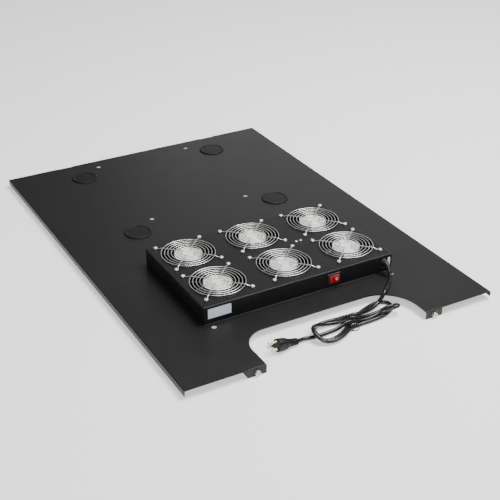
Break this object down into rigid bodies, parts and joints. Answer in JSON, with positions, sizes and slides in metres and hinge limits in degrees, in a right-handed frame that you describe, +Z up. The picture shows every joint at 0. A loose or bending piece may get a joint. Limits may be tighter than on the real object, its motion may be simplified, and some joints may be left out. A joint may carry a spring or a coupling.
{
  "type": "rack fan tray",
  "caption": "Sheet-metal cabinet roof panel with a raised tray of axial fans under wire finger guards, a rocker switch, cable entry plugs and a captive mains lead.",
  "frame": {"origin": "centre of the footprint of panel, tabs and tab screws, on the plane that the feet of the four fixing tabs stand on", "axes": "+X to the right seen from the cable cut-out, +Y from the cut-out to the rear edge, +Z up through the fans"},
  "size_m": [0.705, 1.0258, 0.0624],
  "materials": {
    "panel_paint": "satin powder coat",
    "tray_paint": "satin powder coat",
    "fan_casting": "satin",
    "fan_plastic": "moulded",
    "ground_steel": "ground",
    "guard_wire": "bright plated wire",
    "hub_label": "printed film, bare",
    "motor_iron": "laminated",
    "sintered_bronze": "sintered",
    "nickel_screw": "nickel plated",
    "zinc_screw": "zinc plated",
    "switch_black": "satin moulded",
    "rocker_red": "glossy moulded",
    "contact_brass": "nickel-washed brass",
    "label_film": "film, bare",
    "sticker_white": "film, bare",
    "gland_nylon": "moulded nylon",
    "cord_jacket": "smooth vinyl jacket",
    "tie_wire": "coated twist tie",
    "plug_vinyl": "moulded vinyl",
    "cap_plastic": "moulded nylon",
    "terminal_nylon": "moulded nylon",
    "wire_insulation": "vinyl"
  },
  "bodies": {
    "tray_assembly": {"cord_hank": "cord_jacket", "cord_tail": "cord_jacket", "cord_tie": "tie_wire", "fan_bearings": "sintered_bronze", "fan_frame_1": "fan_casting", "fan_frame_2": "fan_casting", "fan_frame_3": "fan_casting", "fan_frame_4": "fan_casting", "fan_frame_5": "fan_casting", "fan_frame_6": "fan_casting", "fan_hub_labels": "hub_label", "fan_stators": "motor_iron", "finger_guard_1": "guard_wire", "finger_guard_2": "guard_wire", "finger_guard_3": "guard_wire", "finger_guard_4": "guard_wire", "finger_guard_5": "guard_wire", "finger_guard_6": "guard_wire", "guard_nuts": "nickel_screw", "guard_screws": "nickel_screw", "hole_plug_1": "cap_plastic", "hole_plug_2": "cap_plastic", "hole_plug_3": "cap_plastic", "hole_plug_4": "cap_plastic", "inspection_sticker": "sticker_white", "plug_blade_line": "contact_brass", "plug_blade_neutral": "contact_brass", "plug_body": "plug_vinyl", "plug_ground_pin": "contact_brass", "power_cord_lead": "cord_jacket", "rating_label": "label_film", "roof_panel": "panel_paint", "strain_relief": "gland_nylon", "switch_housing": "switch_black", "switch_terminals": "contact_brass", "tab_nuts": "zinc_screw", "tab_screws": "zinc_screw", "tab_washers": "zinc_screw", "terminal_block": "terminal_nylon", "terminal_block_screws": "nickel_screw", "tray_housing": "tray_paint", "tray_mounting_nuts": "zinc_screw", "tray_mounting_screws": "zinc_screw", "wiring_harness": "wire_insulation"},
    "fan_rotor_1": {"fan_impeller_1": "fan_plastic", "fan_shaft_1": "ground_steel"},
    "fan_rotor_2": {"fan_impeller_2": "fan_plastic", "fan_shaft_2": "ground_steel"},
    "fan_rotor_3": {"fan_impeller_3": "fan_plastic", "fan_shaft_3": "ground_steel"},
    "fan_rotor_4": {"fan_impeller_4": "fan_plastic", "fan_shaft_4": "ground_steel"},
    "fan_rotor_5": {"fan_impeller_5": "fan_plastic", "fan_shaft_5": "ground_steel"},
    "fan_rotor_6": {"fan_impeller_6": "fan_plastic", "fan_shaft_6": "ground_steel"},
    "switch_lever": {"switch_rocker": "rocker_red"}
  },
  "joints": [
    {"name": "fan_spin_1", "type": "hinge", "parent": "tray_assembly", "child": "fan_rotor_1", "pos_m": [-0.1535, -0.25605, 0.038], "axis": [0, 0, 1], "continuous": true},
    {"name": "fan_spin_2", "type": "hinge", "parent": "tray_assembly", "child": "fan_rotor_2", "pos_m": [0.0025, -0.25605, 0.038], "axis": [0, 0, 1], "continuous": true},
    {"name": "fan_spin_3", "type": "hinge", "parent": "tray_assembly", "child": "fan_rotor_3", "pos_m": [0.1585, -0.25605, 0.038], "axis": [0, 0, 1], "continuous": true},
    {"name": "fan_spin_4", "type": "hinge", "parent": "tray_assembly", "child": "fan_rotor_4", "pos_m": [-0.1535, -0.12035, 0.038], "axis": [0, 0, 1], "continuous": true},
    {"name": "fan_spin_5", "type": "hinge", "parent": "tray_assembly", "child": "fan_rotor_5", "pos_m": [0.0025, -0.12035, 0.038], "axis": [0, 0, 1], "continuous": true},
    {"name": "fan_spin_6", "type": "hinge", "parent": "tray_assembly", "child": "fan_rotor_6", "pos_m": [0.1585, -0.12035, 0.038], "axis": [0, 0, 1], "continuous": true},
    {"name": "switch_rock", "type": "hinge", "parent": "tray_assembly", "child": "switch_lever", "pos_m": [0.07775, -0.33, 0.038], "axis": [0, 0, 1], "range_deg": [0, 14]}
  ]
}
